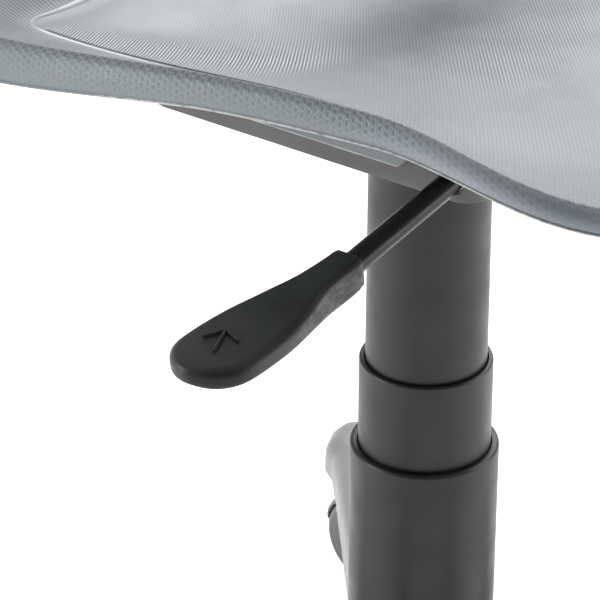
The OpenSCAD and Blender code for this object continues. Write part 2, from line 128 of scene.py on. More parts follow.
def loft(name, rings, sharp=40, flip=False):
    """Closed solid through a list of rings with the same number of points."""
    n = len(rings[0])
    verts = [p for ring in rings for p in ring]
    faces = grid_faces(len(rings), n, flip=flip)
    first, last = list(range(n)), [(len(rings) - 1) * n + k for k in range(n)]
    faces += [first if flip else first[::-1], last[::-1] if flip else last]
    return new_object(name, verts, faces, sharp)


def join(objects, name):
    bm = bmesh.new()
    for obj in objects:
        bm.from_mesh(obj.data)
        bpy.data.objects.remove(obj)
    mesh = bpy.data.meshes.new(name)
    bm.to_mesh(mesh)
    bm.free()
    return place_in_scene(name, mesh)


def apply_modifiers(obj):
    bpy.context.view_layer.update()
    graph = bpy.context.evaluated_depsgraph_get()
    mesh = bpy.data.meshes.new_from_object(obj.evaluated_get(graph))
    old = obj.data
    obj.modifiers.clear()
    obj.data = mesh
    mesh.name = obj.name
    if old.users == 0:
        bpy.data.meshes.remove(old)


def fuse(obj, voxel, rounds):
    """One skin over touching solids, with its seams eased."""
    remesh = obj.modifiers.new("skin", "REMESH")
    remesh.mode = "VOXEL"
    remesh.voxel_size = voxel * MM
    relax = obj.modifiers.new("relax", "SMOOTH")
    relax.factor = 0.5
    relax.iterations = rounds
    apply_modifiers(obj)
    shade(obj, 60)
    return obj


WELD = 0.02
FLAT_ANGLE, EDGE_ANGLE = 1.0, 38.0


def softened(node, width, segments):
    """Copy of a CAD node with its hard edges rounded over."""
    name = node + "_soft"
    bm = bmesh.new()
    bm.from_mesh(frame["nodes"][node].data)
    bmesh.ops.remove_doubles(bm, verts=bm.verts, dist=WELD * MM)
    bmesh.ops.dissolve_limit(bm, angle_limit=math.radians(FLAT_ANGLE), verts=bm.verts, edges=bm.edges)
    mesh = bpy.data.meshes.new(name)
    bm.to_mesh(mesh)
    bm.free()
    obj = place_in_scene(name, mesh)
    bevel = obj.modifiers.new("edge", "BEVEL")
    bevel.width = width * MM
    bevel.segments = segments
    bevel.limit_method = "ANGLE"
    bevel.angle_limit = math.radians(EDGE_ANGLE)
    bevel.use_clamp_overlap = True
    bevel.miter_outer = "MITER_ARC"
    apply_modifiers(obj)
    shade(obj, 35)
    return obj


def dress(obj, body, material, node):
    """Gives a piece its finish and body, and lets it stand for a CAD node."""
    obj.data.materials.clear()
    obj.data.materials.append(material)
    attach(obj, body)
    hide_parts(node)


# ---------------- material helpers

class Graph:
    """Short way to write a node material."""

    def __init__(self, name, colour, roughness, **shader):
        self.material = bpy.data.materials.new(name)
        self.material.use_nodes = True
        self.tree = self.material.node_tree
        self.shader = self.tree.nodes["Principled BSDF"]
        self.shader.inputs["Base Color"].default_value = (*colour, 1)
        self.shader.inputs["Roughness"].default_value = roughness
        for key, value in shader.items():
            self.shader.inputs[key.replace("_", " ")].default_value = value
        self.place = self.node("ShaderNodeTexCoord").outputs["Object"]
        self.normal = None

    def node(self, kind, **settings):
        made = self.tree.nodes.new(kind)
        for key, value in settings.items():
            setattr(made, key, value)
        return made

    def put(self, socket, value):
        if isinstance(value, bpy.types.NodeSocket):
            self.tree.links.new(value, socket)
        elif isinstance(value, tuple) and len(value) == 3 and socket.type == "RGBA":
            socket.default_value = (*value, 1)
        else:
            socket.default_value = value

    def math(self, operation, *values, clamp=False):
        made = self.node("ShaderNodeMath", operation=operation, use_clamp=clamp)
        for socket, value in zip(made.inputs, values):
            self.put(socket, value)
        return made.outputs[0]

    def times(self, a, b):
        return self.math("MULTIPLY", a, b)

    def less(self, a, b):
        """a less b, as in 1 less a share."""
        return self.math("SUBTRACT", a, b)

    def xyz(self, vector):
        made = self.node("ShaderNodeSeparateXYZ")
        self.put(made.inputs[0], vector)
        return made.outputs

    def span(self, value, low, high, to_low=0.0, to_high=1.0):
        """Carries low..high over to another range, eased at both ends."""
        made = self.node("ShaderNodeMapRange", interpolation_type="SMOOTHSTEP")
        for socket, v in zip(made.inputs[:5], (value, low, high, to_low, to_high)):
            self.put(socket, v)
        return made.outputs[0]

    def noise(self, scale, detail=2.0, roughness=0.5, stretch=None):
        made = self.node("ShaderNodeTexNoise")
        place = self.place
        if stretch:
            mapping = self.node("ShaderNodeMapping")
            self.put(mapping.inputs["Vector"], place)
            mapping.inputs["Scale"].default_value = stretch
            place = mapping.outputs[0]
        self.put(made.inputs["Vector"], place)
        made.inputs["Scale"].default_value = scale
        made.inputs["Detail"].default_value = detail
        made.inputs["Roughness"].default_value = roughness
        return made.outputs[0]

    def attribute(self, name):
        return self.node("ShaderNodeAttribute", attribute_name=name).outputs["Fac"]

    def mix(self, factor, a, b):
        made = self.node("ShaderNodeMix", data_type="RGBA")
        self.put(made.inputs[0], factor)
        self.put(made.inputs[6], a)
        self.put(made.inputs[7], b)
        return made.outputs[2]

    def colour(self, value):
        self.put(self.shader.inputs["Base Color"], value)

    def rough(self, value):
        self.put(self.shader.inputs["Roughness"], value)

    def bump(self, height, distance, strength=1.0):
        """Adds relief; height runs over 0 to 1 and distance is in millimetres."""
        made = self.node("ShaderNodeBump")
        self.put(made.inputs["Height"], height)
        made.inputs["Distance"].default_value = distance * MM
        made.inputs["Strength"].default_value = strength
        if self.normal is not None:
            self.put(made.inputs["Normal"], self.normal)
        self.normal = made.outputs[0]
        self.put(self.shader.inputs["Normal"], self.normal)


def moulded(name, colour, roughness, grain, mottle, depth, worn=None, **shader):
    """Moulded plastic or powder coat: fine grain, faint mottling and uneven gloss."""
    g = Graph(name, colour, roughness, **shader)
    fine = g.noise(grain, 2)
    cloud = g.noise(22, 3)
    dark = tuple(c * (1 - mottle) for c in colour)
    light = tuple(min(1, c * (1 + mottle)) for c in colour)
    tone = g.mix(g.span(cloud, 0.3, 0.7), dark, light)
    tone = g.mix(g.math("MULTIPLY", fine, 0.25), tone, tuple(c * 0.7 for c in colour))
    if worn:
        scuff = g.noise(140, 5, 0.7, stretch=(1, 1, 0.35))
        tone = g.mix(g.span(scuff, 0.62, 0.8, 0, 0.5), tone, worn)
    g.colour(tone)
    g.rough(g.span(g.noise(60, 3), 0.25, 0.75, roughness - 0.05, roughness + 0.07))
    g.bump(fine, depth)
    return g.material


def brushed(name, colour, roughness, depth=0.008):
    """Bare metal with fine lines drawn along Z."""
    g = Graph(name, colour, roughness, Metallic=1.0)
    lines = g.noise(1500, 3, 0.6, stretch=(1, 1, 0.03))
    g.colour(g.mix(g.span(lines, 0.3, 0.7), tuple(c * 0.82 for c in colour), colour))
    g.rough(g.span(lines, 0.3, 0.7, roughness - 0.06, roughness + 0.1))
    g.bump(lines, depth)
    return g.material


def grip_material():
    """Grained black plastic, with a painted sheen that pales it towards the tip, most on the blade's top.
    """
    black, tip_sheen_colour = (0.0045, 0.0045, 0.0052), (0.034, 0.0345, 0.037)
    specks, scuff_and_sheen_colour = (0.06, 0.06, 0.062), (0.14, 0.138, 0.13)
    g = Graph("grip_plastic", (0.006, 0.006, 0.0066), 0.42, Specular_IOR_Level=0.33)
    x, _, z = g.xyz(g.place)
    fine, speck = g.noise(1900, 3, 0.65), g.noise(700, 4, 0.7)
    # painted sheen: paler towards the tip, most on the blade's top
    upper = g.span(z, (BLADE_TOP - 3.0) * MM, (BLADE_TOP - 0.8) * MM)
    by_tip = g.span(x, (TIP_X - 14) * MM, (TIP_X + 39) * MM, 1.0, 0.0)
    tip_sheen = g.times(by_tip, g.math("MULTIPLY_ADD", upper, 0.8, 0.2))
    tone = g.mix(tip_sheen, black, tip_sheen_colour)
    tone = g.mix(g.span(speck, 0.58, 0.75, 0, 0.35), tone, specks)
    # the neck's side is scuffed, and a painted highlight is mixed into the scuffs
    side = g.span(z, (BLADE_TOP - 2.4) * MM, (BLADE_TOP - 0.6) * MM, 1.0, 0.0)
    neck = g.span(x, (TIP_X + 24) * MM, (TIP_X + 44) * MM)
    scuff = g.times(g.noise(210, 5, 0.7, stretch=(0.5, 1, 1.6)), side)
    scuff = g.times(g.span(scuff, 0.40, 0.6, 0, 0.6), neck)
    g.colour(g.mix(scuff, tone, scuff_and_sheen_colour))
    g.rough(g.span(g.noise(50, 3), 0.3, 0.7, 0.36, 0.5))
    g.bump(fine, 0.07)
    return g.material


# ---------------- seat
# The top follows the CAD solid's rings; everything is set out from its outline.
# f is the angle round the seat's middle and r the distance from it.

SEAT_W, SEAT_D, SEAT_CY, SEAT_POWER = 372.0, 400.0, -12.0, 4.2
DISH_Z, DISH_POWER = 442.0, 2.4
CREST_Z, CREST_Y = 494.0, -100.0
# The rim ahead of the crest and behind it: its drop at the sides, the crest's reach, its drop at the end
SIDE_DROP, CREST_REACH, END_DROP = (33, 29), (75.0, 190.0), (37, 13)
BAND_H, BAND_MOST, BAND_GROWTH = 12, 18, (0.05, 0.016)
PANEL_HALF, PANEL_LEAN = 121.0, 0.085
PANEL_REAR, PANEL_FRONT = 117.0, -150.0
PANEL_MARGIN = 12
SHELL_WALL = 5.5
AROUND = 560
RIB_PITCH, BORDER_PITCH = 1.95, 1.9
RIB_BEND = 0.065 * math.pi / 180
PEBBLE_U, PEBBLE_V = 2.8, 2.8

# Rings beside the panel's edge: distance from it
PANEL_RINGS = (-13, -10, -7.5, -5.5, -4, -3, -2.2, -1.5, -1.1, -0.8, -0.5, -0.2, 0.1,
               0.6, 1.3, 2.1, 3.0, 4, 5.2, 7, 9, PANEL_MARGIN)
# The edge's roll and the lip below it: inset from the outline, share of the band's height, drop
ROLL = ((5.5, -0.02, 0), (2.4, 0.08, 0), (0.7, 0.3, 0), (0, 0.58, 0), (0.35, 0.84, 0),
        (0.9, 0.93, 0), (0.95, 0.965, 0), (0.5, 0.985, 0), (0.55, 1, 0.45),
        (1.1, 1, 0.75), (2.0, 1, 0.7), (2.6, 0.97, 0), (4.6, 0.9, 0))
ROLL_STEPS = (5, 6, 5, 5, 5, 4, 2, 2, 2, 2, 2, 2, 2, 3, 4, 4)


def ease(low, high, v):
    t = np.clip((v - low) / (high - low), 0, 1)
    return t * t * (3 - 2 * t)


def hump(v, centre, width):
    return np.exp(-((v - centre) / width) ** 2)


def outline_r(f):
    c, s = np.abs(np.cos(f)) * 2 / SEAT_W, np.abs(np.sin(f)) * 2 / SEAT_D
    return (c ** SEAT_POWER + s ** SEAT_POWER) ** (-1 / SEAT_POWER)


def rim_z(f):
    x, y = outline_r(f) * np.cos(f), outline_r(f) * np.sin(f) + SEAT_CY
    front = y < CREST_Y
    foot = CREST_Z - np.where(front, *SIDE_DROP)
    side_z = foot + (CREST_Z - foot) * hump(y, CREST_Y, np.where(front, *CREST_REACH))
    side = ease(0.3, 0.9, np.abs(x) * 2 / SEAT_W)
    end_z = CREST_Z - np.where(y < 0, *END_DROP)
    return side * side_z + (1 - side) * end_z


def band_h(f):
    """Height of the edge's pebbled band, which grows from the front to the rear."""
    y = outline_r(f) * np.sin(f) + SEAT_CY + 20
    return np.minimum(BAND_MOST, BAND_H + np.where(y > 0, *BAND_GROWTH) * y)


def panel_r(f):
    """Distance to the edge of the inset panel: nearly a rectangle, wider at the rear."""
    rear, front = PANEL_REAR - SEAT_CY, PANEL_FRONT - SEAT_CY
    dx, dy = np.cos(f), np.sin(f)
    side = PANEL_HALF / np.maximum(np.abs(dx) - PANEL_LEAN * np.maximum(dy, 0), 1e-4)
    end = np.where(dy > 0, rear / np.maximum(dy, 1e-4), front / np.minimum(dy, -1e-4))
    power = np.where(dy > 0, 26.0, 7.0)
    return (side ** -power + end ** -power) ** (-1 / power)


def seat_top_z(r, f):
    return DISH_Z + (rim_z(f) - DISH_Z) * (r / outline_r(f)) ** DISH_POWER


def crease_marks(offset, f, r):
    """Fold, strip and the step's painted shade along the panel's edge, each from 0 to 1, the panel's
    step up, and how brightly the fold shines; the fold and the strip carry painted highlights as
    well as relief."""
    x, y = np.abs(r * np.cos(f)), r * np.sin(f) + SEAT_CY
    rear = ease(100, 114, y) * (1 - ease(122, 136, x))
    side = 1 - ease(101, 113, y)
    width = 0.9 + 3.4 * (1 - np.clip(x / 125, 0, 1))
    fold = rear * hump(offset, width, width)
    strip = side * ease(30, 66, y) * hump(offset, 2.0, 1.7)
    # painted shade: a dark line along the panel's step
    step_shade = side * ease(-80, 0, y) * (1 - 0.55 * ease(52, 80, y)) + 0.25 * rear
    step_shade = step_shade * hump(offset, -0.5, 0.5)
    step = (0.75 * side * ease(-70, 10, y) - 0.2 * rear) * (1 - ease(-0.9, 0.1, offset))
    step = step * (1 - ease(14, 60, -offset))
    shine = 1 - 0.5 * ease(88, 124, x)
    return fold, strip, step_shade, step, shine


def crease_step(offset, f, r):
    """A narrow step up to the panel along the sides, and a smooth fold at the rear."""
    fold, strip, _, step, _ = crease_marks(offset, f, r)
    return fold + 0.1 * strip + step


def catmull(points, steps):
    """Smooth curve through rows of points, each an array over the directions."""
    p = [2 * points[0] - points[1]] + points + [2 * points[-1] - points[-2]]
    out = []
    for i in range(1, len(p) - 2):
        for k in range(steps[i - 1]):
            t = k / steps[i - 1]
            out.append(0.5 * (2 * p[i] + (p[i + 1] - p[i - 1]) * t
                              + (2 * p[i - 1] - 5 * p[i] + 4 * p[i + 1] - p[i + 2]) * t * t
                              + (3 * p[i] - p[i - 1] - 3 * p[i + 1] + p[i + 2]) * t ** 3))
    out.append(points[-1])
    return out


def seat_ring(f, share, below=0.0):
    """Ring of (radius, height) at a share of the outline's radius, on the top or below it."""
    r = share * outline_r(f)
    return np.stack([r, seat_top_z(r, f) - below], -1)


def seat_rings(f):
    """Rings over the top, round the rolled edge and back along the underside."""
    R, P, rim, band = outline_r(f), panel_r(f), rim_z(f), band_h(f)
    border = 0.9 * R - P - PANEL_MARGIN
    radii = [P * t for t in np.linspace(0.06, 0.86, 15)]
    radii += [P + o for o in PANEL_RINGS]
    radii += [(P + PANEL_MARGIN) + border * t for t in np.linspace(0.09, 0.91, 9)]
    top = [np.stack([r, seat_top_z(r, f) + crease_step(r - P, f, r)], -1) for r in radii]
    keys = [seat_ring(f, share) for share in (0.9, 0.945)]
    keys += [np.stack([R - inset, rim - share * band - drop], -1) for inset, share, drop in ROLL]
    keys += [seat_ring(f, share, SHELL_WALL) for share in (0.945, 0.9)]
    under = [seat_ring(f, share, SHELL_WALL) for share in (0.84, 0.77, 0.69, 0.6, 0.5, 0.38, 0.25, 0.12)]
    return top, catmull(keys, ROLL_STEPS), under


def build_seat():
    f = np.arange(AROUND) * TAU / AROUND
    top, rolled, under = seat_rings(f)
    rings = np.array(top + rolled + under)
    r, z = rings[..., 0], rings[..., 1]
    grid = np.stack([r * np.cos(f), r * np.sin(f) + SEAT_CY, z], -1)
    rows = len(rings)
    tip, foot = rows * AROUND, rows * AROUND + 1
    last = (rows - 1) * AROUND
    verts = list(grid.reshape(-1, 3)) + [(0, SEAT_CY, DISH_Z), (0, SEAT_CY, DISH_Z - SHELL_WALL)]
    faces = grid_faces(rows, AROUND, flip=True)
    faces += [[tip, k, (k + 1) % AROUND] for k in range(AROUND)]
    faces += [[foot, last + (k + 1) % AROUND, last + k] for k in range(AROUND)]
    seat = new_object("seat_skin", verts, faces, sharp=60)

    across = np.zeros((rows, AROUND))
    across[1:] = np.cumsum(np.linalg.norm(np.diff(grid, axis=0), axis=-1), 0)
    across -= across[len(top) + sum(ROLL_STEPS[:2])]
    middles = (across[0].mean(), across[-1].mean())
    store(seat.data, "across", across, middles)
    store_ribs(seat.data, np.array(verts), grid, r - panel_r(f))
    store_marks(seat.data, grid, r - panel_r(f), f, r, len(top), len(rolled))
    map_edge(seat.data, outline_r(f), f, np.append(across, middles))
    return seat


def store(mesh, name, values, middles=()):
    """Keeps a value per vertex; middles are those in the middle of the top and the underside."""
    attribute = mesh.attributes.new(name, "FLOAT", "POINT")
    attribute.data.foreach_set("value", np.append(values, middles).astype(np.float32))


def read(items, name):
    values = np.zeros(len(items), np.int64)
    items.foreach_get(name, values)
    return values


def store_ribs(mesh, verts, grid, from_panel):
    """Where the ribs run, how deep they are and how strongly they are painted light and dark, and where
    painted shade and painted highlight lie.
    """
    store(mesh, "rib_phase", rib_phase(verts[:, 0], verts[:, 1]))
    store(mesh, "border_phase", border_phase(verts[:, 0], verts[:, 1]))
    # the border's own ribs run along the sides and round the rear corners
    store(mesh, "side_border", ease(-80, -25, verts[:, 1]) * ease(60, 100, np.abs(verts[:, 0])))
    store(mesh, "from_panel", from_panel, (-100, 50))

    # the ribs' depth, which also sets how strongly they are painted: highlights on the ridges, shade in the
    # valleys
    x, y = np.abs(grid[..., 0]), grid[..., 1]
    ahead = 85 - y
    from_side = PANEL_HALF + 1 + PANEL_LEAN * y - x
    beside = hump(from_side, 8 + 0.5 * ahead, 11 + 0.24 * np.abs(ahead))
    beside = beside * ease(0, 30, y) * (1 - ease(95, 112, y))
    crest = hump(y, -88, 34) * ease(30, 95, x) * (1 - ease(120, 165, x))
    middle = hump(x, 15, 34) * hump(y, -42, 24)
    inside = 0.06 + 1.45 * beside + 0.1 * crest + 0.26 * middle
    outside = 0.1 + 0.4 * ease(0, 50, y) * (1 - 0.6 * ease(98, 126, y))
    on_border = ease(-0.2, 0.4, from_panel) * (1 - ease(60, 90, -y))
    depth = inside + (outside - inside) * on_border
    store(mesh, "rib_depth_and_shading", depth, (depth[0].mean(), 0))

    # painted shade: darker over the dish, beside the panel's rear corners and at the front middle
    hollow = hump(x, 0, 72) * hump(y, 2, 36)
    corner = ease(-4, 14, from_panel) * ease(40, 95, y)
    front_centre = ease(10, 40, -y) * (1 - ease(60, 110, x))
    tone = 0.92 * hollow + 0.76 * corner + 0.2 * front_centre
    store(mesh, "tone", tone, (tone[0].mean(), 0))
    # painted highlight over the sides of the crest and beside the panel
    store(mesh, "painted_highlight", hump(x, 88, 34) * hump(y, -108, 36) + 1.3 * beside, (0, 0))


def store_marks(mesh, grid, from_panel, f, r, top_rows, rolled_rows):
    """The crease beside the panel, the painted highlight on the lip under the edge, and the underside."""
    row = np.arange(len(grid))[:, None]
    fold, strip, step_shade, _, shine = crease_marks(from_panel, f, r)
    # masks for the painted highlights on the fold and the strip and for the painted shade along the step
    for name, values in (("fold", fold * shine), ("strip", strip), ("step_shade", step_shade)):
        store(mesh, name, values * (row < top_rows + 2), (0, 0))
    # where the lip under the edge gets its painted highlight
    lip_from, lip_to = top_rows + sum(ROLL_STEPS[:8]), top_rows + sum(ROLL_STEPS[:10])
    on_lip = (row > lip_from) & (row <= lip_to)
    store(mesh, "lip", on_lip * (1 - ease(10, 45, grid[..., 1])), (0, 0))
    under = row >= top_rows + rolled_rows - sum(ROLL_STEPS[-3:])
    store(mesh, "under_side", np.repeat(under, AROUND), (0, 1))


def map_edge(mesh, R, f, across):
    """UV in metres: the way along the edge, kept per face corner so that it closes up, and across."""
    outline = np.stack([R * np.cos(f), R * np.sin(f)], -1)
    sides = np.linalg.norm(np.roll(outline, -1, 0) - outline, axis=1)
    along = np.concatenate([[0], np.cumsum(sides)])
    columns = 2 * round(along[-1] / PEBBLE_U / 2)
    along *= columns * PEBBLE_U / along[-1]

    loop_vert = read(mesh.loops, "vertex_index")
    totals = read(mesh.polygons, "loop_total")
    column = np.where(loop_vert < len(across) - 2, loop_vert % AROUND, 0)
    face_of = np.repeat(np.arange(len(totals)), totals)
    closing = np.zeros(len(totals), bool)
    np.logical_or.at(closing, face_of, column == AROUND - 1)
    wrap = closing[face_of] & (column == 0)
    uv = np.stack([along[np.where(wrap, AROUND, column)], across[loop_vert]], -1) * MM
    layer = mesh.uv_layers.new(name="edge")
    layer.data.foreach_set("uv", uv.astype(np.float32).ravel())


def rib_phase(x, y):
    """Ribs run diagonally, fan out slowly and lie closer at the rear; counted in ribs."""
    a = np.clip(math.radians(41.5) + RIB_BEND * x, math.radians(22), math.radians(60))
    lean = np.log(np.cos(a)) / RIB_BEND
    rear = 10.0 * ease(60, 150, y) * ease(-190, 190, -x)
    closer = 0.13 * (y - 10 + np.hypot(y - 10, 40))
    return (y + lean + rear + closer) / RIB_PITCH


def border_phase(x, y):
    """Ribs of the border run along the sides, a little askew to the edge."""
    return (0.93 * np.hypot(x, 40) + 0.24 * y) / BORDER_PITCH


def rib_relief(g):
    """Rounded ridges with narrow valleys, on another course outside the panel."""
    wave = g.math("SINE", g.times(g.attribute("rib_phase"), TAU))
    ridge = g.math("POWER", g.math("MULTIPLY_ADD", wave, 0.5, 0.5), 0.8)
    wave = g.math("SINE", g.times(g.attribute("border_phase"), TAU))
    border = g.math("MULTIPLY_ADD", wave, 0.5, 0.5)
    beyond = g.times(g.span(g.attribute("from_panel"), -0.4, 0.4), g.attribute("side_border"))
    return g.math("MULTIPLY_ADD", beyond, g.less(border, ridge), ridge)


def pebble_relief(g, u_mm, v_mm):
    """Upright ovals in staggered columns: each one's raised rim, the rim's lit side, the hollow."""
    # a thousand pebbles are added, so that the counts stay above zero
    column = g.math("ADD", g.math("DIVIDE", u_mm, PEBBLE_U), 1000.0)
    stagger = g.times(g.math("MODULO", g.math("FLOOR", column), 2.0), 0.5)
    drift = g.times(g.less(g.noise(160, 2), 0.5), 0.5)
    row = g.math("ADD", g.math("DIVIDE", v_mm, PEBBLE_V), stagger)
    row = g.math("ADD", row, g.math("ADD", drift, 1000.0))
    du = g.less(g.math("FRACT", column), 0.5)
    dv = g.less(g.math("FRACT", row), 0.5)
    wobble = g.times(g.less(g.noise(700, 2), 0.5), 0.22)
    oval = g.math("ADD", g.times(g.times(du, du), 1.2), g.times(g.times(dv, dv), 0.8))
    far = g.math("ADD", g.math("SQRT", oval), wobble)
    rim = g.less(1.0, g.span(g.math("ABSOLUTE", g.less(far, 0.42)), 0.01, 0.10))
    lit = g.times(rim, g.span(g.less(du, dv), -0.35, 0.3, 0.12, 1.0))
    return rim, lit, g.less(1.0, g.span(far, 0.12, 0.38))


def seat_top_colour(g, ribs, strength, fold, strip):
    """Ribbed plastic, with painted shade in the dish, in the rib valleys and along the panel's step, and
    painted highlights on the ridges, over the crest, beside the panel and along the crease.
    """
    cloud = g.span(g.noise(9, 3), 0.3, 0.7)
    colour = g.mix(cloud, (0.28, 0.312, 0.335), (0.31, 0.342, 0.365))
    # painted shade where the stored tone is high
    colour = g.mix(g.attribute("tone"), colour, (0.078, 0.1, 0.12))
    # painted highlight over the sides of the crest and beside the panel
    colour = g.mix(g.times(g.attribute("painted_highlight"), 0.3), colour, (0.56, 0.585, 0.61))
    # painted shade in the rib valleys and painted highlights on the ridges
    colour = g.mix(g.times(g.less(1.0, ribs), strength), colour, (0.09, 0.12, 0.145))
    colour = g.mix(g.times(g.times(ribs, strength), 0.75), colour, (0.86, 0.88, 0.90))
    # painted highlight along the fold at the rear
    colour = g.mix(g.times(fold, 0.95), colour, (0.88, 0.90, 0.93))
    # painted highlight: a white strip beside the panel's step
    colour = g.mix(strip, colour, (1.0, 1.0, 1.0))
    # painted shade along the panel's step
    return g.mix(g.times(g.attribute("step_shade"), 0.92), colour, (0.07, 0.09, 0.11))


def seat_band_colour(g, across, fade, lit, hollow):
    """Pebbled band round the edge, with painted shade over its upper part and in the pebbles' hollows and
    painted highlights on their lit rims; a painted highlight makes it paler over the front, where it is
    smoother, and it is darker at the very front corner.
    """
    y = g.xyz(g.place)[1]
    front = g.span(y, -0.14, -0.07, 1.0, 0.0)
    corner = g.span(y, -0.175, -0.13, 0.6, 0.0)
    # painted shade over the band's upper part
    colour = g.mix(g.span(across, -8.0, -3.0), (0.166, 0.205, 0.228), (0.186, 0.222, 0.238))
    # painted highlight over the front
    colour = g.mix(front, colour, (0.315, 0.352, 0.382))
    colour = g.mix(corner, colour, (0.15, 0.18, 0.205))
    fade = g.times(fade, g.math("MULTIPLY_ADD", front, -0.6, 1.0))
    # painted shade in the pebbles' hollows
    colour = g.mix(g.times(g.times(hollow, fade), 0.55), colour, (0.085, 0.11, 0.13))
    # painted highlight on the pebbles' lit rims
    return g.mix(g.times(g.times(lit, fade), 0.5), colour, (0.52, 0.56, 0.57))


def seat_material():
    g = Graph("seat_plastic", (0.44, 0.47, 0.49), 0.36, Specular_IOR_Level=0.55)
    under, across, tone = g.attribute("under_side"), g.attribute("across"), g.attribute("tone")
    fold, strip = g.attribute("fold"), g.attribute("strip")
    top_side = g.less(1.0, under)
    u, v, _ = g.xyz(g.node("ShaderNodeUVMap", uv_map="edge").outputs[0])
    u_mm, v_mm = g.times(u, 1000.0), g.times(v, 1000.0)
    ribs = rib_relief(g)
    rim, lit, hollow = pebble_relief(g, u_mm, v_mm)

    # the band ends in scallops, one to every second pebble
    scallop = g.math("ABSOLUTE", g.math("SINE", g.times(g.math("DIVIDE", u_mm, PEBBLE_U * 2), math.pi)))
    on_band = g.times(g.span(g.math("MULTIPLY_ADD", scallop, 1.5, across), -8.2, -7.0), top_side)
    fade = g.times(g.span(across, 4.0, 15.0, 1.0, 0.35), g.span(g.noise(30, 2), 0.3, 0.7, 0.5, 1.0))
    pebbles = g.times(on_band, fade)
    plain = g.math("SUBTRACT", 1.0, g.math("MAXIMUM", fold, strip), clamp=True)
    ribbed = g.times(plain, g.times(g.less(1.0, on_band), top_side))
    strength = g.times(ribbed, g.attribute("rib_depth_and_shading"))

    colour = seat_top_colour(g, ribs, strength, fold, strip)
    colour = g.mix(on_band, colour, seat_band_colour(g, across, fade, lit, hollow))
    # painted highlight in dashes along the lip under the edge
    dash = g.span(g.noise(260, 2), 0.35, 0.5, 0.2, 0.85)
    colour = g.mix(g.times(g.attribute("lip"), dash), colour, (0.52, 0.54, 0.54))
    g.colour(g.mix(g.times(under, 0.6), colour, (0.36, 0.39, 0.41)))
    g.rough(g.math("MULTIPLY_ADD", tone, 0.3, g.span(g.noise(45, 3), 0.3, 0.7, 0.30, 0.40)))
    g.bump(g.times(ribs, strength), 0.45)
    g.bump(g.times(g.less(rim, g.times(hollow, 0.6)), pebbles), 0.12, 0.8)
    g.bump(g.noise(2400, 2), 0.012)
    return g.material


SKIRT_LOW, SKIRT_TOP = 415.8, 443.8
SKIRT_Y, SKIRT_HALF, SKIRT_X, SKIRT_THICK = 5.5, 47.0, 76.0, 3.0
SKIRT_CUT, SKIRT_CORNER = 4.2, 2.6
# Rounding of the panel's rims: depth into the panel and inset of the outline
SKIRT_ROUND = ((0, 1.1), (0.1, 0.62), (0.36, 0.28), (0.72, 0.08), (1.1, 0))


def skirt_material():
    g = Graph("skirt_plastic", (0.24, 0.27, 0.28), 0.42)
    height = g.xyz(g.place)[2]
    tone = g.mix(g.span(g.noise(14, 3), 0.3, 0.7), (0.152, 0.173, 0.182), (0.178, 0.2, 0.209))
    # painted highlight along the lower edge's rounding
    low_edge = g.span(height, (SKIRT_LOW + 0.2) * MM, (SKIRT_LOW + 1.2) * MM, 1.0, 0.0)
    edge_highlight = g.times(low_edge, g.span(g.noise(90, 3), 0.3, 0.6, 0.4, 1.0))
    g.colour(g.mix(edge_highlight, tone, (0.6, 0.62, 0.6)))
    g.rough(g.span(g.noise(60, 3), 0.3, 0.7, 0.38, 0.48))
    g.bump(g.noise(2600, 2), 0.02)
    return g.material


def skirt_panel(side):
    """Side panel under the seat's edge, with rounded lower corners."""
    y0, y1 = SKIRT_Y - SKIRT_HALF, SKIRT_Y + SKIRT_HALF
    points = [(y0, SKIRT_TOP), (y0, SKIRT_LOW + SKIRT_CUT), (y0 + SKIRT_CUT, SKIRT_LOW),
              (y1 - SKIRT_CUT, SKIRT_LOW), (y1, SKIRT_LOW + SKIRT_CUT), (y1, SKIRT_TOP)]
    outline = fillet(points, [0] + [SKIRT_CORNER] * 4 + [0], 6)
    n = len(outline)
    rings = []
    for depth, inset in SKIRT_ROUND + tuple((SKIRT_THICK - d, i) for d, i in SKIRT_ROUND[::-1]):
        ring = []
        for i, p in enumerate(outline):
            d = np.array(outline[(i + 1) % n]) - np.array(outline[i - 1])
            normal = np.array([d[1], -d[0]]) / max(np.linalg.norm(d), 1e-6)
            y, z = np.array(p) - normal * inset
            if i in (0, n - 1):
                y, z = p[0] + (inset if i == 0 else -inset), p[1]
            ring.append((side * (SKIRT_X + depth), y, z))
        rings.append(ring)
    return loft(f"skirt_{'right' if side > 0 else 'left'}", rings, sharp=55, flip=side < 0)


BOSS_X, BOSS_Y, BOSS_R, BOSS_BORE = 55, 48, 9, 4.35
BOSS_LOW, BOSS_TOP = 432, 441.8


def boss(x, y):
    outline = [(BOSS_BORE, BOSS_LOW), (BOSS_R, BOSS_LOW), (BOSS_R, BOSS_TOP), (BOSS_BORE, BOSS_TOP)]
    obj = revolve("boss", fillet(outline, [0.4, 0.8, 0, 0], 3), 48)
    obj.data.transform(Matrix.Translation((x * MM, y * MM, 0)))
    return obj


# ---------------- lever

LEVER_Y, DROOP = -61.0, math.radians(7.9)
ROD_X, ROD_Z, ROD_R = -75.0, 415.0, 5.0
ROD_START, ROD_END = -36.2, -156.0


def rod_axis_z(x):
    return ROD_Z - (ROD_X - x) * math.tan(DROOP)


